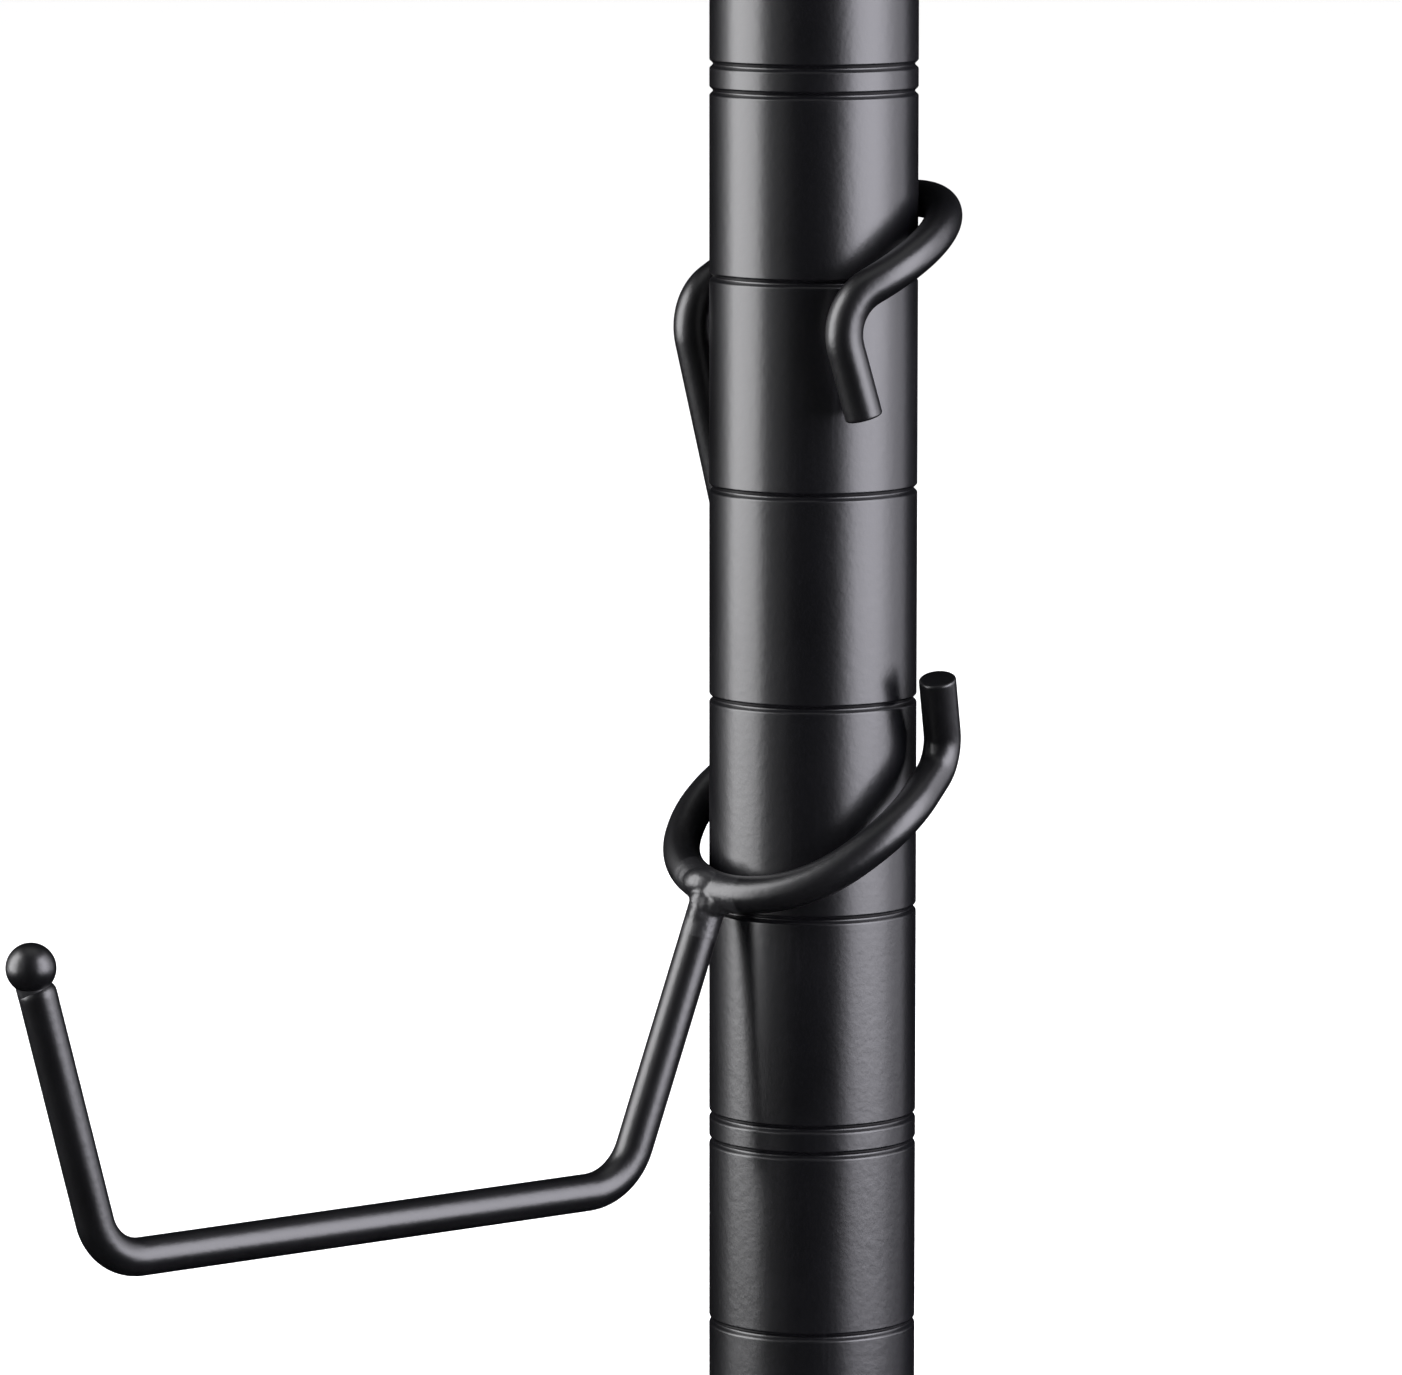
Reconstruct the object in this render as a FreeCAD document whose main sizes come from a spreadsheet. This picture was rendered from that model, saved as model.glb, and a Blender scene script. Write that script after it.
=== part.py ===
import FreeCAD, Part
import math
import os

import Sketcher

# Grooved wire-shelving post on a levelling foot, with a bent-wire hook clamped round it.
# Millimetres, Z up. The origin is the centre of the foot pad's flat underside; the hook's arm
# points to -Y and the leg between the hook's two loops runs down the -X side of the post.

os.makedirs("parts", exist_ok=True)
doc = FreeCAD.newDocument("post_with_hook")
V = FreeCAD.Vector

# ---------------------------------------------------------------- sizes
sheet = doc.addObject("Spreadsheet::Sheet", "Dims")

DRIVING = [
    # foot pad
    ("pad_d", 30.0), ("pad_edge_h", 4.6), ("pad_neck_r", 9.6), ("pad_neck_z", 8.4), ("pad_h", 9.6),
    ("pad_bevel", 0.6), ("pad_bore_r", 4.08), ("pad_seat_r", 6.08), ("pad_seat_z", 2.35),
    ("pad_seat_top", 5.5),
    # levelling stud, M8 thread drawn as its outer diameter
    ("stud_d", 8.0), ("stud_flange_r", 6.0), ("stud_flange_z", 2.4), ("stud_flange_t", 3.0),
    ("stud_hex_flats", 13.0), ("stud_hex_z", 10.2), ("stud_hex_t", 5.0), ("stud_top", 40.0),
    ("stud_tip", 1.0),
    # threaded insert in the bottom of the post
    ("insert_gap", 3.0), ("insert_flange_t", 2.0), ("insert_plug_h", 14.0), ("insert_bore_r", 4.08),
    ("insert_fit", 0.02), ("insert_bevel", 0.8),
    # post tube
    ("post_od", 25.0), ("post_wall", 1.2), ("post_len", 203.2), ("post_bevel", 0.3),
    ("groove_pitch", 25.4), ("groove_w", 1.0), ("groove_floor", 0.36), ("groove_depth", 0.45),
    ("groove_twin", 3.2),
    # push-in cap
    ("cap_flange_t", 2.4), ("cap_crown", 1.4), ("cap_plug_r", 10.9), ("cap_plug_h", 12.0),
    ("cap_plug_wall", 1.6), ("cap_rib_fit", 0.05), ("cap_rib_w", 1.2), ("cap_lead", 0.8),
    # wire of the hook
    ("wire_d", 4.5),
    # upper loop: a circle tilted about the post, highest towards the plan angle given
    ("top_r", 16.9), ("top_tilt", 27.3), ("top_high", 81.9), ("top_z", 153.35),
    ("top_from", -95.5), ("top_to", 102.0), ("top_lead_in", 5.6), ("top_lead_out", 7.1),
    # lower loop
    ("low_r", 16.4), ("low_tilt", 33.8), ("low_high", 98.0), ("low_z", 88.75),
    ("low_aside_x", 0.7), ("low_aside_y", -1.4), ("low_bend", 15.4),
    ("low_lift_1", 0.0), ("low_lift_2", 0.1), ("low_lift_3", -0.15), ("low_lift_4", -0.7),
    ("low_lift_5", 0.6),
    ("low_from", 73.9), ("low_to", 284.2), ("low_lead_in", 6.7), ("low_lead_out", 7.1),
    # free ends of the clamp wire, heights above the post's lower end
    ("end_a_x", 16.0), ("end_a_y", -4.8), ("end_a_z", 136.9),
    ("end_b_x", 15.6), ("end_b_y", 6.7), ("end_b_z", 104.9),
    ("bend_a", 6.2), ("bend_leg_top", 6.2), ("bend_leg_low", 8.7), ("bend_b", 4.3),
    # arm, in the plane x = 0: reach from the post's axis and height above the post's lower end
    ("arm_root_reach", 15.15), ("arm_root_z", 79.6), ("arm_heel_reach", 28.7), ("arm_bar_z", 44.8),
    ("arm_toe_reach", 102.05), ("arm_tip_reach", 111.55), ("arm_tip_z", 79.7),
    ("arm_heel_bend", 7.5), ("arm_toe_bend", 6.4),
    # ball and welds
    ("ball_d", 5.8), ("ball_seat", 1.9), ("ball_bead_r", 0.55), ("arm_bead_r", 1.5),
    ("arm_bead_drop", 3.0), ("arm_bead_ring", 2.0),
]

DERIVED = [
    ("pad_r", "=pad_d / 2"),
    ("pad_foot_r", "=pad_r - pad_bevel"),
    ("post_r", "=post_od / 2"),
    ("post_bore_r", "=post_r - post_wall"),
    ("insert_z", "=stud_hex_z + stud_hex_t + insert_gap"),
    ("post_z", "=insert_z + insert_flange_t"),
    ("post_top", "=post_z + post_len"),
    ("post_bevel_r", "=post_r - post_bevel"),
    ("post_bevel_z", "=post_z + post_bevel"),
    ("post_bevel_top", "=post_top - post_bevel"),
    ("insert_plug_r", "=post_bore_r - insert_fit"),
    ("insert_top", "=post_z + insert_plug_h"),
    ("insert_bevel_r", "=insert_plug_r - insert_bevel"),
    ("insert_bevel_z", "=insert_top - insert_bevel"),
    ("groove_root_r", "=post_r - groove_depth"),
    ("groove_mouth_r", "=post_r + 0.5"),
    ("groove_low", "=post_z + groove_pitch - groove_w / 2"),
    ("groove_high", "=groove_low + groove_w"),
    ("groove_floor_low", "=groove_low + (groove_w - groove_floor) / 2"),
    ("groove_floor_high", "=groove_high - (groove_w - groove_floor) / 2"),
    ("twin_low", "=groove_low + groove_pitch - groove_twin"),
    ("twin_high", "=groove_high + groove_pitch - groove_twin"),
    ("twin_floor_low", "=groove_floor_low + groove_pitch - groove_twin"),
    ("twin_floor_high", "=groove_floor_high + groove_pitch - groove_twin"),
    ("cap_top", "=post_top + cap_flange_t"),
    ("cap_shoulder", "=cap_top - cap_crown"),
    ("cap_low", "=post_top - cap_plug_h"),
    ("cap_lead_z", "=cap_low + cap_lead"),
    ("cap_lead_r", "=cap_plug_r - cap_lead / 2"),
    ("cap_core_r", "=cap_plug_r - cap_plug_wall"),
    ("cap_roof", "=post_top - 0.4"),
    ("cap_rib_r", "=post_bore_r - cap_rib_fit"),
]

for row, (name, value) in enumerate(DRIVING, start=1):
    sheet.set("A%d" % row, name)
    sheet.set("B%d" % row, str(value))
    sheet.setAlias("B%d" % row, name)
for row, (name, formula) in enumerate(DERIVED, start=len(DRIVING) + 1):
    sheet.set("A%d" % row, name)
    sheet.set("B%d" % row, formula)
    sheet.setAlias("B%d" % row, name)
doc.recompute()


def size(name):
    return float(sheet.get(name))


# ---------------------------------------------------------------- bodies turned from a profile
def origin_item(body, role):
    for item in body.Origin.OriginFeatures:
        if item.Role == role:
            return item
    raise RuntimeError("no " + role)


def profile(body, name, corners, plane="XZ_Plane"):
    """Closed polygon whose corners are held by sheet names: (distance across, height)."""
    sketch = body.newObject("Sketcher::SketchObject", name)
    sketch.AttachmentSupport = [(origin_item(body, plane), "")]
    sketch.MapMode = "FlatFace"
    spots = [V(0 if a is None else size(a), 0 if b is None else size(b), 0) for a, b in corners]
    for i, spot in enumerate(spots):
        sketch.addGeometry(Part.LineSegment(spot, spots[(i + 1) % len(spots)]), False)
    for i in range(len(spots)):
        sketch.addConstraint(Sketcher.Constraint("Coincident", i, 2, (i + 1) % len(spots), 1))
    for i, (across, height) in enumerate(corners):
        for kind, axis, alias in (("DistanceX", -2, across), ("DistanceY", -1, height)):
            if alias is None:
                sketch.addConstraint(Sketcher.Constraint("PointOnObject", i, 1, axis))
                continue
            number = sketch.addConstraint(Sketcher.Constraint(kind, -1, 1, i, 1, size(alias)))
            sketch.setExpression("Constraints[%d]" % number, "Dims." + alias)
    return sketch


def turned(body, name, sketch, kind="PartDesign::Revolution"):
    feature = body.newObject(kind, name)
    feature.Profile = sketch
    feature.ReferenceAxis = (sketch, ["V_Axis"])
    feature.Angle = 360.0
    body.Tip = feature
    doc.recompute()
    return feature


def new_body(label):
    body = doc.addObject("PartDesign::Body", label)
    body.Label = label
    return body


def rounded_rim(body, name, feature, rims, alias):
    """Fillet the circular edges at the given (radius, height) pairs."""
    edges = []
    for i, edge in enumerate(feature.Shape.Edges, start=1):
        if not isinstance(edge.Curve, Part.Circle):
            continue
        for radius, height in rims:
            near_r = abs(edge.Curve.Radius - radius) < 1e-3
            near_z = abs(edge.Curve.Center.z - height) < 1e-3
            if near_r and near_z:
                edges.append("Edge%d" % i)
    fillet = body.newObject("PartDesign::Fillet", name)
    fillet.Base = (feature, edges)
    fillet.setExpression("Radius", "Dims." + alias)
    body.Tip = fillet
    doc.recompute()
    return fillet


# foot pad: base disc rising to a neck, with a captive seat for the stud's flange
pad = new_body("foot_pad")
pad_corners = [
    (None, None), ("pad_foot_r", None), ("pad_r", "pad_bevel"), ("pad_r", "pad_edge_h"),
    ("pad_neck_r", "pad_neck_z"), ("pad_neck_r", "pad_h"), ("pad_bore_r", "pad_h"),
    ("pad_bore_r", "pad_seat_top"), ("pad_seat_r", "pad_seat_top"), ("pad_seat_r", "pad_seat_z"),
    (None, "pad_seat_z"),
]
turned(pad, "pad_turned", profile(pad, "pad_profile", pad_corners))

# insert: flange under the post and a plug pressed into its bore, drilled for the stud
insert = new_body("foot_insert")
insert_corners = [
    ("insert_bore_r", "insert_z"), ("post_bevel_r", "insert_z"), ("post_r", "post_z"),
    ("insert_plug_r", "post_z"), ("insert_plug_r", "insert_bevel_z"),
    ("insert_bevel_r", "insert_top"), ("insert_bore_r", "insert_top"),
]
turned(insert, "insert_turned", profile(insert, "insert_profile", insert_corners))

# post tube, grooved every pitch, with a second groove below every fifth one
tube = new_body("post_tube")
tube_corners = [
    ("post_bore_r", "post_z"), ("post_bevel_r", "post_z"), ("post_r", "post_bevel_z"),
    ("post_r", "post_bevel_top"), ("post_bevel_r", "post_top"), ("post_bore_r", "post_top"),
]
turned(tube, "tube_turned", profile(tube, "tube_profile", tube_corners))


def groove_row(name, heights, spacing, count):
    low, floor_low, floor_high, high = heights
    corners = [("groove_mouth_r", low), ("post_r", low), ("groove_root_r", floor_low),
               ("groove_root_r", floor_high), ("post_r", high), ("groove_mouth_r", high)]
    before = tube.Shape.Volume
    cut = turned(tube, name, profile(tube, name + "_profile", corners), "PartDesign::Groove")
    if not tube.Shape.Volume < before:
        raise RuntimeError(name + " removed nothing")
    row = tube.newObject("PartDesign::LinearPattern", name + "_row")
    row.Originals = [cut]
    row.Direction = (origin_item(tube, "Z_Axis"), [""])
    row.Occurrences = count
    row.setExpression("Length", "Dims.groove_pitch * %d" % spacing)
    tube.Tip = row
    doc.recompute()


groove_row("pitch_groove", ("groove_low", "groove_floor_low", "groove_floor_high", "groove_high"), 6, 7)
groove_row("twin_groove", ("twin_low", "twin_floor_low", "twin_floor_high", "twin_high"), 5, 2)

# cap: crowned flange and a hollow plug with six crush ribs
cap = new_body("top_cap")
cap_corners = [
    (None, "cap_roof"), ("cap_core_r", "cap_roof"), ("cap_core_r", "cap_low"),
    ("cap_lead_r", "cap_low"), ("cap_plug_r", "cap_lead_z"), ("cap_plug_r", "post_top"),
    ("post_r", "post_top"), ("post_r", "cap_top"), (None, "cap_top"),
]
cap_turned = turned(cap, "cap_turned", profile(cap, "cap_profile", cap_corners))
cap_round = rounded_rim(cap, "cap_crown", cap_turned, [(size("post_r"), size("cap_top"))],
                        "cap_crown")
rib_sketch = cap.newObject("Sketcher::SketchObject", "cap_rib_profile")
rib_sketch.AttachmentSupport = [(origin_item(cap, "XZ_Plane"), "")]
rib_sketch.MapMode = "FlatFace"
rib_corners = [(size("cap_core_r") + 0.6, size("cap_lead_z")), (size("cap_rib_r"), size("cap_lead_z")),
               (size("cap_rib_r"), size("post_top")), (size("cap_core_r") + 0.6, size("post_top"))]
for i in range(4):
    a = V(rib_corners[i][0], rib_corners[i][1], 0)
    b = V(rib_corners[(i + 1) % 4][0], rib_corners[(i + 1) % 4][1], 0)
    rib_sketch.addGeometry(Part.LineSegment(a, b), False)
for i in range(4):
    rib_sketch.addConstraint(Sketcher.Constraint("Coincident", i, 2, (i + 1) % 4, 1))
for i, kind in enumerate(("Horizontal", "Vertical", "Horizontal", "Vertical")):
    rib_sketch.addConstraint(Sketcher.Constraint(kind, i))
for kind, geo, alias in (("DistanceX", 1, "cap_rib_r"), ("DistanceY", 1, "cap_lead_z"),
                         ("DistanceY", 3, "post_top")):
    held = rib_sketch.addConstraint(Sketcher.Constraint(kind, -1, 1, geo, 1, size(alias)))
    rib_sketch.setExpression("Constraints[%d]" % held, "Dims." + alias)
inner = rib_sketch.addConstraint(Sketcher.Constraint("DistanceX", -1, 1, 0, 1, rib_corners[0][0]))
rib_sketch.setExpression("Constraints[%d]" % inner, "Dims.cap_core_r + 0.6")
rib = cap.newObject("PartDesign::Pad", "cap_rib")
rib.Profile = rib_sketch
rib.Midplane = True
rib.setExpression("Length", "Dims.cap_rib_w")
cap.Tip = rib
doc.recompute()
ribs = cap.newObject("PartDesign::PolarPattern", "cap_ribs")
ribs.Originals = [rib]
ribs.Axis = (origin_item(cap, "Z_Axis"), [""])
ribs.Angle = 360.0
ribs.Occurrences = 6
cap.Tip = ribs
doc.recompute()

# levelling stud: captive flange, neck, hexagon and thread with a pointed end
stud_parts = []


def stud_piece(kind, name, **held):
    piece = doc.addObject(kind, name)
    for prop, expression in held.items():
        if prop == "z":
            piece.setExpression(".Placement.Base.z", expression)
        else:
            piece.setExpression(prop, expression)
    stud_parts.append(piece)
    return piece


stud_piece("Part::Cylinder", "stud_flange", Radius="Dims.stud_flange_r",
           Height="Dims.stud_flange_t", z="Dims.stud_flange_z")
stud_piece("Part::Cylinder", "stud_shank", Radius="Dims.stud_d / 2",
           Height="Dims.stud_top - Dims.stud_tip - Dims.stud_flange_z", z="Dims.stud_flange_z")
stud_piece("Part::Cone", "stud_point", Radius1="Dims.stud_d / 2", Height="Dims.stud_tip",
           Radius2="Dims.stud_d / 2 - Dims.stud_tip", z="Dims.stud_top - Dims.stud_tip")
hexagon = stud_piece("Part::Prism", "stud_hex", Circumradius="Dims.stud_hex_flats / sqrt(3)",
                     Height="Dims.stud_hex_t", z="Dims.stud_hex_z")
hexagon.Polygon = 6
stud = doc.addObject("Part::MultiFuse", "leveling_stud")
stud.Shapes = stud_parts
stud.Refine = True
doc.recompute()


# ---------------------------------------------------------------- bent wire
def loop_frame(prefix, aside):
    """Centre, uphill direction and level direction of a tilted loop."""
    tilt = math.radians(size(prefix + "_tilt"))
    high = math.radians(size(prefix + "_high"))
    centre = V(aside[0], aside[1], size("post_z") + size(prefix + "_z"))
    uphill = V(math.cos(high) * math.cos(tilt), math.sin(high) * math.cos(tilt), math.sin(tilt))
    level = V(-math.sin(high), math.cos(high), 0)
    return centre, uphill, level


def loop_corners(prefix, bend, lifts=(0, 0, 0, 0, 0), aside=(0, 0)):
    """Corners of the polygon whose rounded corners make up the loop's arc, with a straight
    lead before and after it. Lifts raise single corners out of the loop's plane."""
    centre, uphill, level = loop_frame(prefix, aside)
    radius = size(prefix + "_r")
    pieces = len(lifts)
    start = math.radians(size(prefix + "_from"))
    stop = math.radians(size(prefix + "_to"))
    step = (stop - start) / pieces

    def spot(angle, reach):
        return centre + uphill * (reach * math.cos(angle)) + level * (reach * math.sin(angle))

    def heading(angle):
        return uphill * -math.sin(angle) + level * math.cos(angle)

    reach = radius / math.cos(step / 2)
    arc = [(spot(start + (i + 0.5) * step, reach) + V(0, 0, lift), size(bend))
           for i, lift in enumerate(lifts)]
    first = spot(start, radius) - heading(start) * size(prefix + "_lead_in")
    last = spot(stop, radius) + heading(stop) * size(prefix + "_lead_out")
    return first, arc, last


def bent_path(corners):
    """Wire of straight runs and tangent arcs through (point, bend radius) corners."""
    edges = []
    here = corners[0][0]
    for (before, _), (corner, radius), (after, _) in zip(corners, corners[1:], corners[2:]):
        back = (before - corner).normalize()
        ahead = (after - corner).normalize()
        turn = math.pi - back.getAngle(ahead)
        trim = radius * math.tan(turn / 2)
        enter = corner + back * trim
        leave = corner + ahead * trim
        middle = (back + ahead).normalize()
        crest = corner + middle * (radius / math.cos(turn / 2) - radius)
        if (enter - here).Length > 1e-4:
            edges.append(Part.LineSegment(here, enter).toShape())
        edges.append(Part.Arc(enter, crest, leave).toShape())
        here = leave
    if (corners[-1][0] - here).Length > 1e-4:
        edges.append(Part.LineSegment(here, corners[-1][0]).toShape())
    return Part.Wire(edges)


def swept_wire(name, corners):
    path = doc.addObject("Part::Feature", name + "_path")
    path.Shape = bent_path(corners)
    heading = corners[1][0] - corners[0][0]
    section = doc.addObject("Part::Circle", name + "_section")
    section.setExpression("Radius", "Dims.wire_d / 2")
    section.Placement = FreeCAD.Placement(corners[0][0], FreeCAD.Rotation(V(0, 0, 1), heading))
    sweep = doc.addObject("Part::Sweep", name)
    sweep.Sections = [section]
    sweep.Spine = (path, ["Edge%d" % (i + 1) for i in range(len(path.Shape.Edges))])
    sweep.Solid = True
    sweep.Frenet = False
    sweep.Transition = "Transformed"
    doc.recompute()
    area = math.pi * (size("wire_d") / 2) ** 2
    wanted = area * path.Shape.Length
    if abs(sweep.Shape.Volume / wanted - 1) > 0.01:
        raise RuntimeError("%s: volume %.1f, wanted %.1f" % (name, sweep.Shape.Volume, wanted))
    return sweep


def above_post(x, y, z):
    return V(size(x), size(y), size("post_z") + size(z))


top_first, top_arc, top_last = loop_corners("top", "top_r")
low_lifts = [size("low_lift_%d" % k) for k in range(1, 6)]
low_aside = (size("low_aside_x"), size("low_aside_y"))
low_first, low_arc, low_last = loop_corners("low", "low_bend", low_lifts, low_aside)
clamp_corners = [(above_post("end_a_x", "end_a_y", "end_a_z"), 0), (top_first, size("bend_a"))]
clamp_corners += top_arc
clamp_corners += [(top_last, size("bend_leg_top")), (low_first, size("bend_leg_low"))]
clamp_corners += low_arc
clamp_corners += [(low_last, size("bend_b")), (above_post("end_b_x", "end_b_y", "end_b_z"), 0)]
clamp = swept_wire("clamp_wire", clamp_corners)


def in_arm_plane(reach, height):
    return V(0, -size(reach), size("post_z") + size(height))


arm_root = in_arm_plane("arm_root_reach", "arm_root_z")
arm_heel = in_arm_plane("arm_heel_reach", "arm_bar_z")
arm_toe = in_arm_plane("arm_toe_reach", "arm_bar_z")
ball_centre = in_arm_plane("arm_tip_reach", "arm_tip_z")
rise = (ball_centre - arm_toe).normalize()
arm_end = ball_centre - rise * size("ball_seat")
arm_corners = [(arm_root, 0), (arm_heel, size("arm_heel_bend")), (arm_toe, size("arm_toe_bend")),
               (arm_end, 0)]
arm_blank = swept_wire("arm_blank", arm_corners)


def cut(label, base, *tools):
    piece = base
    for number, tool in enumerate(tools, start=1):
        result = doc.addObject("Part::Cut", label if number == len(tools) else label + "_trim")
        result.Base = piece
        result.Tool = tool
        piece = result
    doc.recompute()
    return piece


# arm, its upper end coped over the lower loop
arm = cut("hook_arm", arm_blank, clamp)

# weld bead round the coped end
drop = (arm_heel - arm_root).normalize()
bead = doc.addObject("Part::Torus", "arm_bead")
bead.setExpression("Radius1", "Dims.arm_bead_ring")
bead.setExpression("Radius2", "Dims.arm_bead_r")
bead.Placement = FreeCAD.Placement(arm_root + drop * size("arm_bead_drop"),
                                   FreeCAD.Rotation(V(0, 0, 1), drop))
arm_weld = cut("arm_weld", bead, clamp, arm_blank)

# ball on the free end, with a flat where it sits on the wire, and the ring of weld below it
sphere = doc.addObject("Part::Sphere", "ball_blank")
sphere.setExpression("Radius", "Dims.ball_d / 2")
sphere.Placement = FreeCAD.Placement(ball_centre, FreeCAD.Rotation(V(0, 0, 1), rise))
ball = cut("ball_tip", sphere, arm_blank)
ring = doc.addObject("Part::Torus", "ball_bead")
ring.setExpression("Radius1", "Dims.wire_d / 2")
ring.setExpression("Radius2", "Dims.ball_bead_r")
ring.Placement = FreeCAD.Placement(arm_end - rise * size("ball_bead_r"),
                                   FreeCAD.Rotation(V(0, 0, 1), rise))
ball_weld = cut("ball_weld", ring, sphere, arm_blank)

# ---------------------------------------------------------------- checks and export
NODES = [pad, stud, insert, tube, cap, clamp, arm, arm_weld, ball, ball_weld]
doc.recompute()
for item in doc.Objects:
    if "Invalid" in item.State or "Error" in item.State:
        raise RuntimeError("%s is %s" % (item.Name, item.State))
for node in NODES:
    shape = node.Shape
    if shape.isNull() or not shape.isValid() or shape.Volume <= 0:
        raise RuntimeError(node.Label + " has no valid solid")
    if len(shape.Solids) != 1:
        raise RuntimeError("%s has %d solids" % (node.Label, len(shape.Solids)))
    shape.exportStep("parts/%s.step" % node.Label)
    box = shape.BoundBox
    print("%s volume %.1f box %.2f %.2f %.2f to %.2f %.2f %.2f" % (
        node.Label, shape.Volume, box.XMin, box.YMin, box.ZMin, box.XMax, box.YMax, box.ZMax))
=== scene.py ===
import math
import bpy
import numpy as np
from mathutils import Matrix, Vector, noise


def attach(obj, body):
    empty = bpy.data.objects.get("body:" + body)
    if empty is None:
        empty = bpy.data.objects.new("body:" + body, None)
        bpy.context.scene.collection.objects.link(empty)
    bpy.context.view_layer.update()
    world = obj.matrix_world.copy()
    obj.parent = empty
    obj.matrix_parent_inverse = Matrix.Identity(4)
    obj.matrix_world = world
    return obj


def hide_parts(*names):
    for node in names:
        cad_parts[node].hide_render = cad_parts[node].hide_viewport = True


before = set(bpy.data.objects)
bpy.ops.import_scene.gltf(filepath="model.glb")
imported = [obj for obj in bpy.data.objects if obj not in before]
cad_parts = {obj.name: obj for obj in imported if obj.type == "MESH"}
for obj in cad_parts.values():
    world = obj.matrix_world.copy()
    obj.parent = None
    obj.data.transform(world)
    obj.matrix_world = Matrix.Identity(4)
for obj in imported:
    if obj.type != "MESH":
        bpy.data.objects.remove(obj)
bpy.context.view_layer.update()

MM = 0.001
# heights and sizes in mm, as in the CAD; heights on the hook are counted from the post's foot, POST_Z
POST_R, POST_BORE, POST_Z, POST_TOP = 12.5, 11.3, 20.2, 223.4
PITCH, TWIN, GROOVES, TWINNED = 25.4, 3.2, 7, (2, 7)
GROOVE_HALF, GROOVE_DEEP = 0.6, 0.42
CAP_T, CAP_EDGE, CAP_PLUG, CAP_HOLLOW_R = 2.4, 1.4, 12.0, 9.3
INSERT_FOOT, INSERT_TOP, INSERT_R, INSERT_BORE = 18.2, 34.2, 11.28, 4.08
PAD_R, PAD_NECK_R, PAD_TOP = 15.0, 9.1, 9.6
STUD_R, STUD_TOP, THREAD_PITCH, THREAD_DEPTH = 4.0, 40.0, 1.25, 0.66
HEX_FLATS, HEX_Z, HEX_T = 13.0, 10.2, 5.0
WIRE_R, BALL_R = 2.25, 2.9
ON_AXIS = 0.0001    # radius of the tiny hole that a solid turned piece keeps on its axis


# ---------------------------------------------------------------- meshes
def make_mesh(name, verts, faces, sharp=32.0):
    """Object from points in mm, smooth but for edges sharper than an angle in degrees."""
    mesh = bpy.data.meshes.new(name)
    mesh.from_pydata([tuple(v) for v in np.asarray(verts) * MM], [], faces)
    mesh.validate()
    mesh.polygons.foreach_set("use_smooth", [True] * len(mesh.polygons))
    mesh.set_sharp_from_angle(angle=math.radians(sharp))
    obj = bpy.data.objects.new(name, mesh)
    bpy.context.scene.collection.objects.link(obj)
    return obj


def grid_faces(rows, cols, wrap_rows=False):
    """Faces between rows of points, each row a closed ring."""
    faces = []
    for i in range(rows if wrap_rows else rows - 1):
        for j in range(cols):
            a, b = i, (i + 1) % rows
            c, d = j, (j + 1) % cols
            faces.append((a * cols + c, a * cols + d, b * cols + d, b * cols + c))
    return faces


def full_turn(around):
    return np.linspace(0, 2 * np.pi, around, endpoint=False)


def ring(radius, z, angles):
    """Points round the z axis; the radius is one number or one for each angle."""
    return np.stack([radius * np.cos(angles), radius * np.sin(angles), np.full(len(angles), z)], 1)


def lathe(name, outline, around=160):
    """Turns a closed outline of (radius, height) pairs, anticlockwise from the foot of its outside."""
    angles = full_turn(around)
    verts = np.concatenate([ring(r, z, angles) for r, z in outline])
    return make_mesh(name, verts, grid_faces(len(outline), around, wrap_rows=True))


def capped_tube(name, rings, sharp):
    """Skin over rings of points, closed by a flat face at both ends."""
    count, around = len(rings), len(rings[0])
    faces = grid_faces(count, around)
    faces.append(tuple(reversed(range(around))))
    faces.append(tuple(range((count - 1) * around, count * around)))
    return make_mesh(name, np.concatenate(rings), faces, sharp)


def ball_mesh(name, at, r, rows=48, around=64):
    verts = []
    for i in range(1, rows):
        a = math.pi * i / rows
        for j in range(around):
            b = 2 * math.pi * j / around
            verts.append(at + r * np.array([math.sin(a) * math.cos(b), math.sin(a) * math.sin(b),
                                            math.cos(a)]))
    faces = [tuple(reversed(f)) for f in grid_faces(rows - 1, around)]
    verts += [at + np.array([0, 0, r]), at - np.array([0, 0, r])]
    top, bottom = len(verts) - 2, len(verts) - 1
    last = (rows - 2) * around
    for j in range(around):
        k = (j + 1) % around
        faces.append((top, j, k))
        faces.append((bottom, last + k, last + j))
    return make_mesh(name, verts, faces, 60)


def arc(cx, cz, r, start, stop, steps=6):
    """Points of an arc in the outline plane, angles in degrees."""
    return [(cx + r * math.cos(math.radians(a)), cz + r * math.sin(math.radians(a)))
            for a in np.linspace(start, stop, steps + 1)]


# ---------------------------------------------------------------- bent wire, as in the CAD
def unit(v):
    return v / np.linalg.norm(v)


def plan(angle):
    return np.array([math.cos(math.radians(angle)), math.sin(math.radians(angle)), 0.0])


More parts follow.
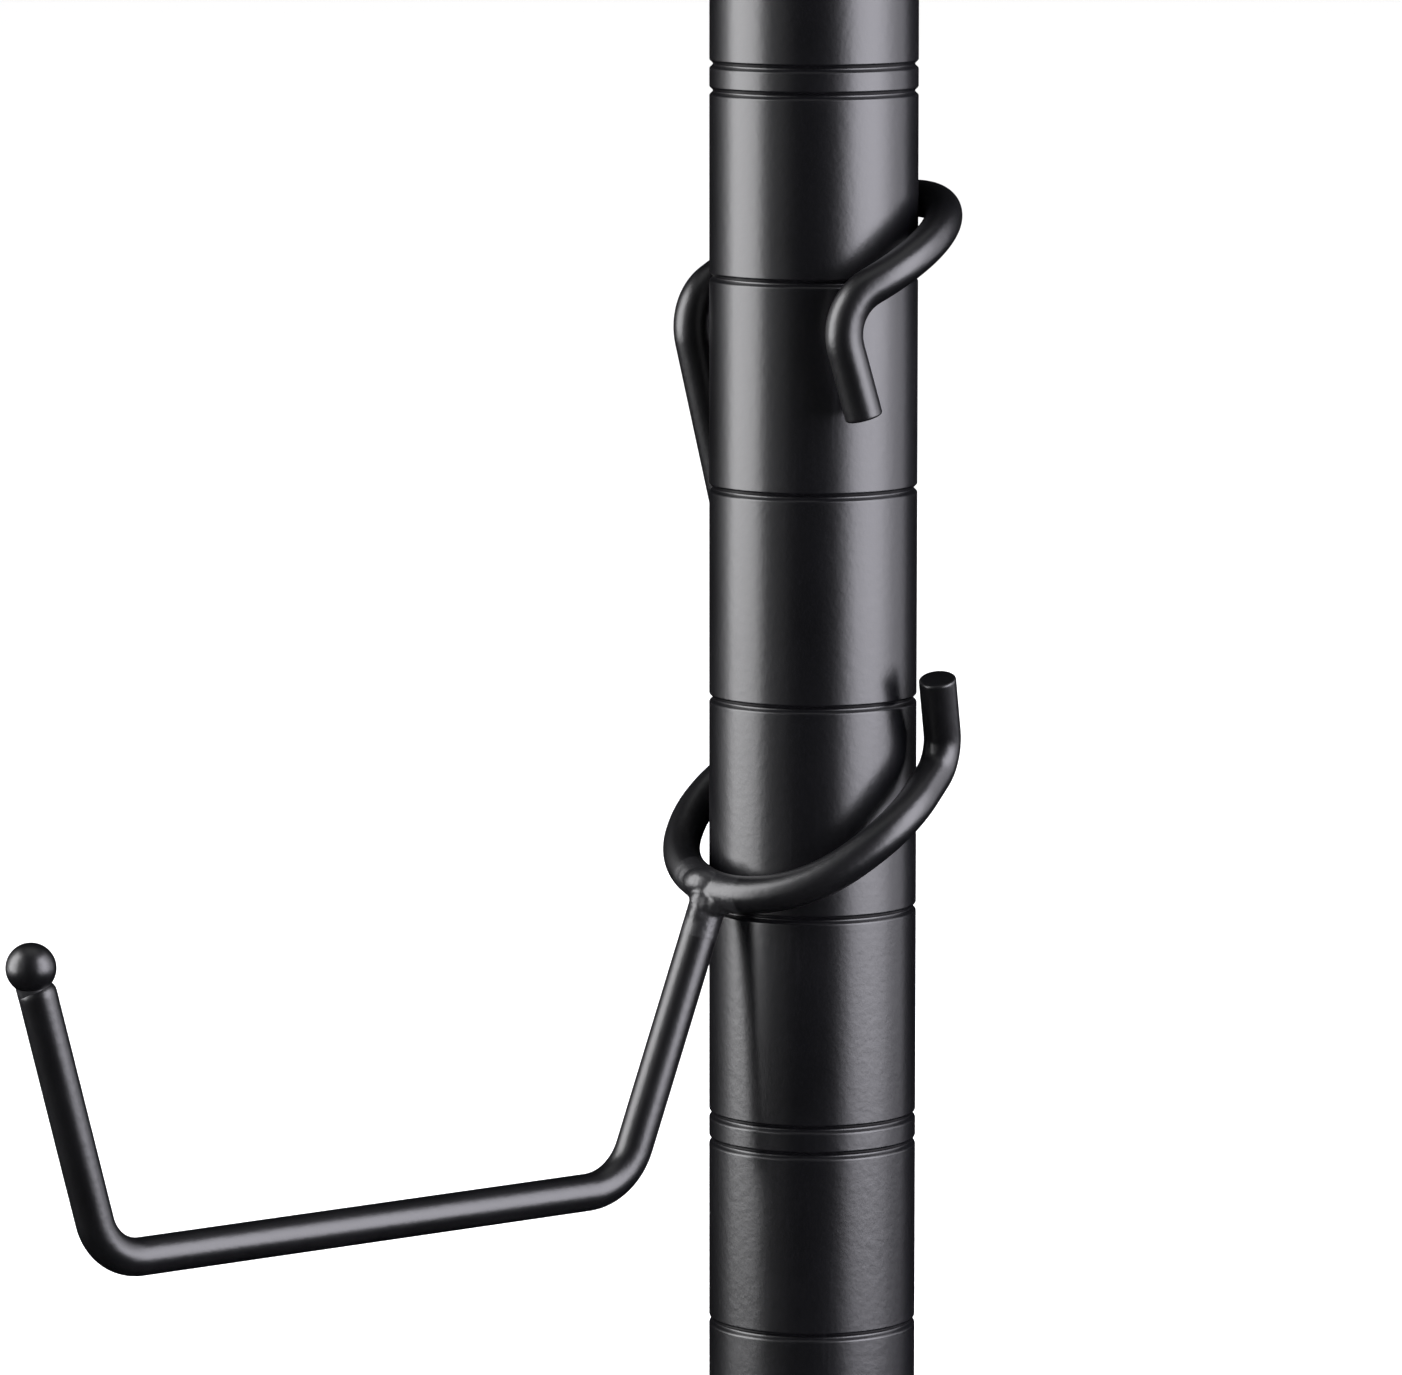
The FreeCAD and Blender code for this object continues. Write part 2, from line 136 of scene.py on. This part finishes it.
def loop_corners(r, tilt, high, z, start, stop, lead_in, lead_out, bend, lifts=(0, 0, 0, 0, 0),
                 aside=(0, 0)):
    """Corners of a tilted loop round the post: its first, its inner ones with their bend, and its last.

    The loop rises by the tilt towards the plan angle high, and runs between the angles start and stop,
    counted from there. Each inner corner is raised by its own lift, and aside moves the whole loop.
    """
    t = math.radians(tilt)
    uphill = plan(high) * math.cos(t) + np.array([0, 0, math.sin(t)])
    level = plan(high + 90)
    centre = np.array([aside[0], aside[1], POST_Z + z])
    a0, a1 = math.radians(start), math.radians(stop)
    step = (a1 - a0) / len(lifts)

    def spot(a, reach):
        return centre + reach * (math.cos(a) * uphill + math.sin(a) * level)

    def heading(a):
        return -math.sin(a) * uphill + math.cos(a) * level

    reach = r / math.cos(step / 2)
    inner = [(spot(a0 + (i + 0.5) * step, reach) + np.array([0, 0, lift]), bend)
             for i, lift in enumerate(lifts)]
    return spot(a0, r) - heading(a0) * lead_in, inner, spot(a1, r) + heading(a1) * lead_out


def bent_line(corners, spacing=0.55):
    """Points along straight runs and tangent arcs through (point, bend radius) corners."""
    points = [corners[0][0]]
    for (before, _), (corner, radius), (after, _) in zip(corners, corners[1:], corners[2:]):
        back, ahead = unit(before - corner), unit(after - corner)
        turn = math.pi - math.acos(float(np.clip(back @ ahead, -1, 1)))
        enter = corner + back * radius * math.tan(turn / 2)
        centre = corner + unit(back + ahead) * radius / math.cos(turn / 2)
        outward = unit(enter - centre)
        along = unit(-back - (-back @ outward) * outward)
        points.append(enter)
        steps = max(2, int(radius * turn / spacing))
        for k in range(1, steps + 1):
            a = turn * k / steps
            points.append(centre + radius * (math.cos(a) * outward + math.sin(a) * along))
    points.append(corners[-1][0])
    line = [points[0]]
    for a, b in zip(points, points[1:]):
        gap = np.linalg.norm(b - a)
        if gap < 1e-3:
            continue
        parts = max(1, int(gap / spacing))
        line += [a + (b - a) * k / parts for k in range(1, parts + 1)]
    return np.array(line)


def wire(name, line, edge, radius=WIRE_R, around=48):
    """Round wire along a line; edge gives the rounding of its first and of its last cut end."""
    tangents = np.gradient(line, axis=0)
    tangents /= np.linalg.norm(tangents, axis=1)[:, None]
    normal = unit(np.cross(tangents[0], [0.3, 0.2, 0.93]))
    normals = []
    for t in tangents:
        normal = unit(normal - (normal @ t) * t)
        normals.append(normal)

    def rounded_end(at, inward, bevel, steps=6):
        """Stations from the full radius to the cut face, at point number at of the line."""
        stations = []
        for k in range(steps + 1):
            a = math.radians(90 * k / steps)
            centre = line[at] + inward * tangents[at] * bevel * (1 - math.sin(a))
            stations.append((centre, tangents[at], normals[at], radius - bevel * (1 - math.cos(a))))
        return stations

    def past_edge(point, at, inward, bevel):
        offset = point - line[at]
        return inward * (offset @ tangents[at]) > bevel + 0.02 or np.linalg.norm(offset) > 3

    between = [(p, t, n, radius) for p, t, n in zip(line, tangents, normals)
               if past_edge(p, 0, 1, edge[0]) and past_edge(p, -1, -1, edge[1])]
    stations = rounded_end(0, 1, edge[0])[::-1] + between + rounded_end(-1, -1, edge[1])
    angles = full_turn(around)
    rings = []
    for p, t, n, r in stations:
        side = np.cross(t, n)
        rings.append(p + r * (np.cos(angles)[:, None] * n + np.sin(angles)[:, None] * side))
    return capped_tube(name, rings, 50.0)


# ---------------------------------------------------------------- surfaces
def node_maker(tree):
    def add(kind, inputs=(), **settings):
        node = tree.nodes.new(kind)
        for key, value in settings.items():
            setattr(node, key, value)
        for key, value in inputs:
            socket = node.inputs[key]
            if isinstance(value, bpy.types.NodeSocket):
                tree.links.new(value, socket)
            else:
                socket.default_value = value
        return node
    return add


def new_material(name):
    """Empty material, with its node maker and its object coordinates."""
    mat = bpy.data.materials.new(name)
    mat.use_nodes = True
    mat.node_tree.nodes.clear()
    add = node_maker(mat.node_tree)
    return mat, add, add("ShaderNodeTexCoord").outputs["Object"]


def shade(add, colour, rough, normal):
    """Shader and output node; returns the shader."""
    shader = add("ShaderNodeBsdfPrincipled", [("Base Color", colour), ("Roughness", rough),
                                              ("Normal", normal)])
    add("ShaderNodeOutputMaterial", [("Surface", shader.outputs[0])])
    return shader


def ramp(add, source, stops):
    """Colour ramp through (place, grey or colour) stops."""
    node = add("ShaderNodeValToRGB", [("Fac", source)])
    elements = node.color_ramp.elements
    for element, (place, value) in zip(elements, stops):
        element.position = place
        element.color = value if isinstance(value, tuple) else (value, value, value, 1)
    return node.outputs["Color"]


def cloudy(add, where, scale, detail, rough=0.5):
    return add("ShaderNodeTexNoise", [("Vector", where), ("Scale", scale), ("Detail", detail),
                                      ("Roughness", rough)]).outputs["Fac"]


def grains(add, where, scale):
    return add("ShaderNodeTexVoronoi", [("Vector", where), ("Scale", scale)]).outputs["Distance"]


def stretched(add, where, scale):
    return add("ShaderNodeMapping", [("Vector", where), ("Scale", scale)]).outputs["Vector"]


def spread(add, source, low, high):
    """Value from low to high that follows a noise."""
    return add("ShaderNodeMapRange", [("Value", source), ("From Min", 0.3), ("From Max", 0.7),
                                      ("To Min", low), ("To Max", high)]).outputs[0]


def bumps(add, height, strength, distance):
    return add("ShaderNodeBump", [("Height", height), ("Strength", strength),
                                  ("Distance", distance)]).outputs["Normal"]


def coated(name, dark, light, rough, peel=0.1, speck=0.3):
    """Powder coat: orange-peel bump, fine speckle, uneven sheen, faint rubs along the length."""
    mat, add, place = new_material(name)
    cloud = cloudy(add, place, 55.0, 4.0)
    rub_lines = cloudy(add, stretched(add, place, (1.0, 1.0, 0.04)), 1500.0, 2.0)
    rub_mask = ramp(add, rub_lines, [(0.60, 0.0), (0.74, 0.5)])
    patch = ramp(add, cloud, [(0.45, 0.0), (0.7, 1.0)])
    rub = add("ShaderNodeMath", [(0, rub_mask), (1, patch)], operation="MULTIPLY").outputs[0]
    speckle = ramp(add, grains(add, place, 2300.0), [(0.0, speck), (0.35, 0.0)])
    tone = add("ShaderNodeMath", [(0, cloud), (1, speckle)], operation="ADD").outputs[0]
    base = ramp(add, tone, [(0.3, dark), (0.85, light)])
    rubbed = tuple(min(1.0, c * 2.2) for c in light[:3]) + (1,)
    worn = add("ShaderNodeMix", [("Factor", rub), ("A", base), ("B", rubbed)], data_type="RGBA")
    uneven = spread(add, cloud, rough - 0.008, rough + 0.012)
    sheen = add("ShaderNodeMath", [(0, rub), (1, 0.12), (2, uneven)], operation="MULTIPLY_ADD").outputs[0]
    height = add("ShaderNodeMath", [(0, cloudy(add, place, 900.0, 1.0)), (1, 2.0),
                                    (2, cloudy(add, place, 2600.0, 2.0))],
                 operation="MULTIPLY_ADD").outputs[0]
    shade(add, worn.outputs["Result"], sheen, bumps(add, height, peel, 0.00008))
    return mat


def moulded(name, dark, light, rough, gloss):
    """Moulded plastic: fine spark-eroded grain with slightly uneven sheen."""
    mat, add, place = new_material(name)
    grain = cloudy(add, place, 4200.0, 3.0, 0.65)
    cloud = cloudy(add, place, 90.0, 3.0)
    base = ramp(add, cloud, [(0.3, dark), (0.75, light)])
    sheen = spread(add, cloud, rough - 0.05, rough + 0.05)
    shader = shade(add, base, sheen, bumps(add, grain, 0.25, 0.00006))
    shader.inputs["Specular IOR Level"].default_value = gloss
    return mat


def plated(name, dark, light, rough):
    """Zinc-plated steel: turned lines round the axis, faint spangle and dull patches."""
    mat, add, place = new_material(name)
    turning = cloudy(add, stretched(add, place, (0.05, 0.05, 1.0)), 5200.0, 2.0)
    cloud = cloudy(add, place, 220.0, 4.0)
    tone = add("ShaderNodeMix", [("Factor", 0.35), ("A", cloud), ("B", grains(add, place, 900.0))],
               data_type="FLOAT")
    base = ramp(add, tone.outputs["Result"], [(0.25, dark), (0.6, light)])
    sheen = spread(add, cloud, rough - 0.06, rough + 0.08)
    shader = shade(add, base, sheen, bumps(add, turning, 0.2, 0.00004))
    shader.inputs["Metallic"].default_value = 1.0
    return mat


post_coat = coated("post_coat", (0.0010, 0.0010, 0.0015, 1), (0.0024, 0.0024, 0.0034, 1), 0.305)
wire_coat = coated("wire_coat", (0.0010, 0.0010, 0.0014, 1), (0.0024, 0.0024, 0.0031, 1), 0.345, peel=0.14)
weld_coat = coated("weld_coat", (0.005, 0.005, 0.0056, 1), (0.010, 0.010, 0.011, 1), 0.36, peel=0.35,
                   speck=0.5)
cap_plastic = moulded("cap_plastic", (0.005, 0.005, 0.0058, 1), (0.009, 0.009, 0.0102, 1), 0.66, gloss=0.15)
pad_plastic = moulded("pad_plastic", (0.006, 0.006, 0.0068, 1), (0.011, 0.011, 0.0122, 1), 0.58, gloss=0.4)
stud_steel = plated("stud_steel", (0.36, 0.37, 0.38, 1), (0.60, 0.61, 0.62, 1), 0.30)
insert_steel = plated("insert_steel", (0.30, 0.31, 0.32, 1), (0.52, 0.53, 0.54, 1), 0.38)


def place_piece(obj, body, material, slot, *nodes):
    """Gives a piece its material and its body, and hides the CAD nodes that it replaces; the slot is not
    used.
    """
    obj.data.materials.append(material)
    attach(obj, body)
    if nodes:
        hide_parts(*nodes)


# ---------------------------------------------------------------- post
def groove(z):
    """Outline of one rolled groove, smooth at both shoulders, with flat margins beside it."""
    points = [(POST_R, z - GROOVE_HALF - 0.12), (POST_R, z - GROOVE_HALF - 0.05)]
    for dz in np.linspace(-GROOVE_HALF, GROOVE_HALF, 17):
        dip = GROOVE_DEEP * (0.5 + 0.5 * math.cos(math.pi * dz / GROOVE_HALF)) ** 1.1
        points.append((POST_R - dip, z + dz))
    return points + [(POST_R, z + GROOVE_HALF + 0.05), (POST_R, z + GROOVE_HALF + 0.12)]


EDGE, BREAK = 0.3, 0.15     # rounding of the tube's outer edges, chamfer of its inner ones
outline = [(POST_BORE + BREAK, POST_Z), (POST_R - EDGE - 0.03, POST_Z)]
outline += arc(POST_R - EDGE, POST_Z + EDGE, EDGE, -90, 0)
outline += [(POST_R, POST_Z + EDGE + 0.06), (POST_R, POST_Z + EDGE + 0.2)]
for k in range(1, GROOVES + 1):
    if k in TWINNED:
        outline += groove(POST_Z + k * PITCH - TWIN)
    outline += groove(POST_Z + k * PITCH)
outline += [(POST_R, POST_TOP - EDGE - 0.2), (POST_R, POST_TOP - EDGE - 0.06)]
outline += arc(POST_R - EDGE, POST_TOP - EDGE, EDGE, 0, 90)
outline += [(POST_R - EDGE - 0.03, POST_TOP), (POST_BORE + BREAK, POST_TOP)]
outline += [(POST_BORE, POST_TOP - BREAK), (POST_BORE, POST_Z + BREAK)]
place_piece(lathe("post_tube_fine", outline, 192), "post", post_coat, "post_coat", "post_tube")

# insert under the post: a rim as wide as the post, and a plug with a chamfered bore
RIM, CHAMFER = 0.6, 0.6
outline = [(INSERT_BORE + CHAMFER + 0.02, INSERT_FOOT), (POST_R - RIM, INSERT_FOOT)]
outline += arc(POST_R - RIM, INSERT_FOOT + RIM, RIM, -90, 0, 5) + [(POST_R, POST_Z), (INSERT_R, POST_Z)]
outline += [(INSERT_R, INSERT_TOP - 0.8), (INSERT_R - 0.78, INSERT_TOP)]
outline += [(INSERT_BORE + CHAMFER + 0.02, INSERT_TOP), (INSERT_BORE, INSERT_TOP - CHAMFER)]
outline += [(INSERT_BORE, INSERT_FOOT + CHAMFER)]
place_piece(lathe("foot_insert_fine", outline, 128), "post", insert_steel, "insert_steel", "foot_insert")

# ---------------------------------------------------------------- cap
# hollow plug, flange, slightly crowned top with the dimple of its gate
PLUG_R, PLUG_FOOT = 10.9, POST_TOP - CAP_PLUG
outline = [(CAP_HOLLOW_R, PLUG_FOOT), (PLUG_R - 0.4, PLUG_FOOT), (PLUG_R, PLUG_FOOT + 0.8)]
outline += [(PLUG_R, POST_TOP), (POST_R - 0.3, POST_TOP), (POST_R, POST_TOP + 0.25)]
outline += arc(POST_R - CAP_EDGE, POST_TOP + CAP_T - CAP_EDGE, CAP_EDGE, 0, 84, 12)
outline += [(r, POST_TOP + CAP_T - 0.0009 * r * r) for r in np.linspace(10.6, 1.5, 14)]
outline += [(1.1, POST_TOP + 2.33), (0.7, POST_TOP + 2.2), (ON_AXIS, POST_TOP + 2.18)]
outline += [(ON_AXIS, POST_TOP - 0.4), (CAP_HOLLOW_R, POST_TOP - 0.4)]
place_piece(lathe("top_cap_fine", outline), "cap", cap_plastic, "cap_plastic", "top_cap")

# crush ribs down the plug, chamfered at their foot
RIB_R = 11.25
for k in range(6):
    a = 60 * k
    verts = []
    for z, reach, half in ((POST_TOP - 11.2, RIB_R - 0.3, 0.3), (POST_TOP - 10.2, RIB_R, 0.45),
                           (POST_TOP - 0.05, RIB_R, 0.6)):
        for u, v in ((PLUG_R - 0.5, -0.6), (reach, -half), (reach, half), (PLUG_R - 0.5, 0.6)):
            verts.append(plan(a) * u + plan(a + 90) * v + np.array([0, 0, z]))
    faces = grid_faces(3, 4) + [(3, 2, 1, 0), (8, 9, 10, 11)]
    place_piece(make_mesh("cap_rib_%d" % (k + 1), verts, faces, 30), "cap", cap_plastic, "cap_plastic")

# ---------------------------------------------------------------- levelling foot
# pad: recessed sole, straight rim, hollow shoulder, neck, and the socket of the stud's flange
outline = [(ON_AXIS, 0.5), (9.0, 0.5), (9.6, 0.0)] + arc(PAD_R - 0.6, 0.6, 0.6, -90, 0)
outline += [(PAD_R, 3.6)] + arc(PAD_R - 1.1, 3.7, 1.1, 0, 55, 8)
outline += arc(PAD_NECK_R + 3.5, 9.4, 3.5, 235, 180, 8)[1:]
outline += arc(PAD_NECK_R - 0.5, PAD_TOP - 0.5, 0.5, 0, 90, 5)
outline += [(4.4, PAD_TOP), (4.1, PAD_TOP - 0.3), (4.1, 5.5), (6.08, 5.5), (6.08, 2.35), (ON_AXIS, 2.35)]
place_piece(lathe("foot_pad_fine", outline), "pad", pad_plastic, "pad_plastic", "foot_pad")


def hexagon(name, flats, z0, tall, around=180, slope=1.73):
    """Hexagon collar whose corners are turned down at both ends, on a cone of that slope."""
    angles = full_turn(around)
    flat = flats / 2 / np.cos((angles + math.pi / 6) % (math.pi / 3) - math.pi / 6)
    near_end = np.linspace(0, 0.6, 5)
    rings = []
    for dz in (*near_end, tall / 2, *(tall - near_end[::-1])):
        turned = flats / 2 + 0.02 + min(dz, tall - dz) * slope
        rings.append(ring(np.minimum(flat, turned), z0 + dz, angles))
    return capped_tube(name, rings, 20)


place_piece(hexagon("stud_hex_fine", HEX_FLATS, HEX_Z, HEX_T), "stud", stud_steel, "stud_steel")


def stud_rings():
    """Turned flange and neck, then a thread cut as one helix."""
    angles = full_turn(72)
    rings = [ring(r, z, angles)
             for r, z in ((0.001, 2.4), (5.8, 2.4), (6.0, 2.6), (6.0, 5.2), (5.8, 5.4), (STUD_R, 5.4),
                          (STUD_R, HEX_Z + 0.1), (STUD_R, HEX_Z + HEX_T - 0.1))]
    for z in np.arange(HEX_Z + HEX_T, STUD_TOP + 0.001, THREAD_PITCH / 14):
        phase = (z / THREAD_PITCH - angles / (2 * np.pi)) % 1.0
        crest = np.clip(np.abs(phase - 0.5) * 2.5 - 0.12, 0, 1)
        run_in = min(1.0, max(0.0, (z - HEX_Z - HEX_T - 0.2) / 0.8))
        threaded = STUD_R - THREAD_DEPTH * (1 - crest) * run_in
        end_chamfer = STUD_R - 1.0 + (STUD_TOP - z)
        rings.append(ring(np.minimum(threaded, end_chamfer), z, angles))
    return rings


place_piece(capped_tube("stud_thread_fine", stud_rings(), 40), "stud", stud_steel, "stud_steel",
            "leveling_stud")

# ---------------------------------------------------------------- hook
top_a, top_mid, top_b = loop_corners(r=16.9, tilt=27.3, high=81.9, z=153.35, start=-95.5, stop=102.0,
                                     lead_in=5.6, lead_out=7.1, bend=16.9)
low_a, low_mid, low_b = loop_corners(r=16.4, tilt=33.8, high=98.0, z=88.75, start=73.9, stop=284.2,
                                     lead_in=6.7, lead_out=7.1, bend=15.4,
                                     lifts=(0.0, 0.1, -0.15, -0.7, 0.6), aside=(0.7, -1.4))
end_a = np.array([16.0, -4.8, POST_Z + 136.9])
end_b = np.array([15.6, 6.7, POST_Z + 104.9])
clamp_line = bent_line([(end_a, 0), (top_a, 6.2)] + top_mid + [(top_b, 6.2), (low_a, 8.7)] + low_mid
                       + [(low_b, 4.3), (end_b, 0)])
clamp = wire("clamp_wire_fine", clamp_line, edge=(0.3, 0.3))
place_piece(clamp, "hook", wire_coat, "wire_coat", "clamp_wire")


def arm_point(reach, height):
    return np.array([0.0, -reach, POST_Z + height])


root, heel = arm_point(15.15, 79.6), arm_point(28.7, 44.8)
toe, ball_at = arm_point(102.05, 44.8), arm_point(111.55, 79.7)
rise = unit(ball_at - toe)
arm_line = bent_line([(root, 0), (heel, 7.5), (toe, 6.4), (ball_at - rise * 1.9, 0)])
arm = wire("hook_arm_fine", arm_line, edge=(0.1, 1.3))
place_piece(arm, "hook", wire_coat, "wire_coat", "hook_arm")


# ---------------------------------------------------------------- welds
def lump(at, facing, wide, tall, thick):
    """Flattened ball that faces a direction."""
    piece = ball_mesh("melt_c", np.zeros(3), 1.0, 24, 32)
    across = unit(np.cross([0.0, 0.0, 1.0], facing))
    turn = Matrix((across * wide, np.cross(facing, across) * tall, facing * thick)).transposed()
    for vertex in piece.data.vertices:
        vertex.co = Vector(at) * MM + turn @ vertex.co
    return piece


# arm weld: short lengths of both wires and a few run beads, melted into one skin that fillets the corner
down = unit(heel - root)
near = [i for i, p in enumerate(clamp_line) if np.linalg.norm(p - root) < 6.0]
low_part = clamp_line[near[0]:near[-1] + 1]
arm_part = np.array([root + down * d for d in np.linspace(0.0, 6.6, 14)])
melt = [wire("melt_a", low_part, edge=(0.2, 0.2), radius=WIRE_R + 0.02, around=40),
        wire("melt_b", arm_part, edge=(0.2, 0.2), radius=WIRE_R + 0.02, around=40)]
# beads all round the arm's root
for x, out, up, size in ((-1.6, 0.6, -1.1, 1.45), (-0.2, 1.4, -1.5, 1.5), (1.0, 1.4, -1.45, 1.5),
                         (1.9, 1.05, -1.5, 1.35), (2.4, 0.2, -1.7, 1.25), (1.4, -0.7, -1.9, 1.2),
                         (0.0, -0.95, -2.0, 1.25), (-1.3, -0.7, -1.9, 1.25), (-2.3, 0.2, -1.7, 1.3)):
    melt.append(ball_mesh("melt_c", root + np.array([x, -out, up]), size, 16, 24))
# the last run of weld: a broad pat on the loop's outer face and a tongue down the front of the arm
weld_facing = unit(np.array([0.19, -0.96, 0.2]))
for x, out, up, wide, tall, thick in ((-0.5, 1.2, 0.75, 2.8, 1.8, 1.65), (0.3, 1.9, -1.2, 1.6, 1.5, 1.3),
                                      (0.4, 2.35, -2.9, 1.4, 1.6, 1.35)):
    melt.append(lump(root + np.array([x, -out, up]), weld_facing, wide, tall, thick))
with bpy.context.temp_override(active_object=melt[0], selected_editable_objects=melt):
    bpy.ops.object.join()
weld = melt[0]
weld.name = "arm_weld_fine"
remesh = weld.modifiers.new("melt", "REMESH")
remesh.mode = "VOXEL"
remesh.voxel_size = 0.12 * MM
remesh.use_smooth_shade = True
smooth = weld.modifiers.new("run", "SMOOTH")
smooth.factor, smooth.iterations = 0.5, 30
place_piece(weld, "hook", weld_coat, "weld_coat", "arm_weld")


def collar(name, at, axis, outline, swell, scale, around=96):
    """Outline of (radius, height) pairs turned about an axis, made uneven like run weld metal."""
    n = unit(np.cross(axis, [0.31, 0.95, 0.1]))
    side = np.cross(axis, n)
    drift = Vector((9.0, 15.3, -9.0))    # the part of the noise that the ring lies in
    verts = []
    for r, h in outline:
        for a in full_turn(around):
            direction = math.cos(a) * n + math.sin(a) * side
            p = at + axis * h + direction * r
            grow = swell * noise.noise(Vector(p) * scale + drift)
            verts.append(p + direction * grow * min(1.0, max(0.0, r - 1.0)))
    return make_mesh(name, verts, grid_faces(len(outline), around, wrap_rows=True), 60)


place_piece(ball_mesh("ball_tip_fine", ball_at, BALL_R), "hook", wire_coat, "wire_coat", "ball_tip")
bead = [(1.0, -3.4), (1.8, -3.4), (2.0, -3.2), (2.0, -2.8), (2.0, -2.3), (2.0, -1.75), (1.0, -1.7)]
heavy_side = unit(np.array([-0.6, -0.8, -0.22]))
ball_weld = collar("ball_weld_fine", ball_at + heavy_side * 0.27, rise, bead, swell=0.03, scale=1.6)
place_piece(ball_weld, "hook", weld_coat, "weld_coat", "ball_weld")

# ---------------------------------------------------------------- floor and world, sizes in metres
floor_mat = bpy.data.materials.new("floor")
floor_mat.use_nodes = True
floor_shader = floor_mat.node_tree.nodes["Principled BSDF"]
floor_shader.inputs["Base Color"].default_value = (0.95, 0.95, 0.95, 1)
floor_shader.inputs["Roughness"].default_value = 0.9
floor_shader.inputs["Specular IOR Level"].default_value = 0.1
bpy.ops.mesh.primitive_plane_add(size=40.0, location=(0, 0, 0))
floor = bpy.context.object
floor.name = "floor"
floor.data.materials.append(floor_mat)
floor.visible_glossy = False

world = bpy.data.worlds.new("studio")
bpy.context.scene.world = world
world.use_nodes = True
world.node_tree.nodes["Background"].inputs["Color"].default_value = (1, 1, 1, 1)
world.node_tree.nodes["Background"].inputs["Strength"].default_value = 1.08
world.cycles_visibility.glossy = False

# ---------------------------------------------------------------- lights
AZ, EL = math.radians(53.0), math.radians(7.6)      # where the camera stands
right = Vector((math.cos(AZ), math.sin(AZ), 0))
level_back = Vector((math.sin(AZ), -math.cos(AZ), 0))


def softbox(name, turn, distance, height, wide, tall, power, aim_height=None, colour=(1, 1, 1)):
    """Area light at an angle round the post from the camera, positive to the camera's right."""
    t = math.radians(turn)
    where = level_back * math.cos(t) * distance + right * math.sin(t) * distance
    where.z = height
    target = Vector((0, 0, height if aim_height is None else aim_height))
    data = bpy.data.lights.new(name, "AREA")
    data.shape = "RECTANGLE"
    data.size, data.size_y = wide, tall
    data.energy = power
    data.color = colour
    lamp = bpy.data.objects.new(name, data)
    lamp.location = where
    lamp.rotation_euler = (target - where).to_track_quat("-Z", "Y").to_euler()
    bpy.context.scene.collection.objects.link(lamp)


def strips(name, height, colour, stretches, tall=1.3):
    """Tall soft lights side by side, one metre from the post: each (from, to, watts per square metre)."""
    for k, (start, stop, glow) in enumerate(stretches):
        wide = 2 * math.tan(math.radians(abs(stop - start) / 2))
        softbox("%s_%d" % (name, k + 1), turn=(start + stop) / 2, distance=1.0, height=height, wide=wide,
                tall=tall, power=glow * wide * tall, colour=colour)


# bright in the middle and weaker to both sides, so that each gleam fades out softly
strips("right", 0.53, (0.93, 0.915, 1.0),
       ((30, 38, 6.0), (38, 44, 22.0), (44, 76, 33.0), (76, 88, 25.0), (88, 100, 11.5), (100, 119, 7.0)))
strips("left", 0.55, (0.985, 0.98, 1.0),
       ((-30, -62, 1.5), (-62, -105, 30.0), (-105, -118, 4.5), (-118, -130, 0.8)))
softbox("overhead", turn=0, distance=0.05, height=1.6, wide=1.2, tall=1.2, power=3.0, aim_height=0.0)

# ---------------------------------------------------------------- camera, one metre from its aim
SENSOR, VIEW_WIDTH = 36.0, 0.1689157    # mm, and the metres that the picture spans at the aim
AIM_RIGHT, AIM_HEIGHT = -0.013485, 0.12288
back = level_back * math.cos(EL) + Vector((0, 0, math.sin(EL)))
camera_data = bpy.data.cameras.new("camera")
camera = bpy.data.objects.new("camera", camera_data)
bpy.context.scene.collection.objects.link(camera)
camera_data.sensor_width = SENSOR
camera_data.lens = SENSOR / VIEW_WIDTH
camera_data.clip_start, camera_data.clip_end = 0.01, 100.0
camera.location = right * AIM_RIGHT + Vector((0, 0, AIM_HEIGHT)) + back
camera.rotation_euler = back.to_track_quat("Z", "Y").to_euler()
bpy.context.scene.camera = camera
bpy.context.scene.view_settings.view_transform = "Standard"
bpy.context.scene.view_settings.look = "None"
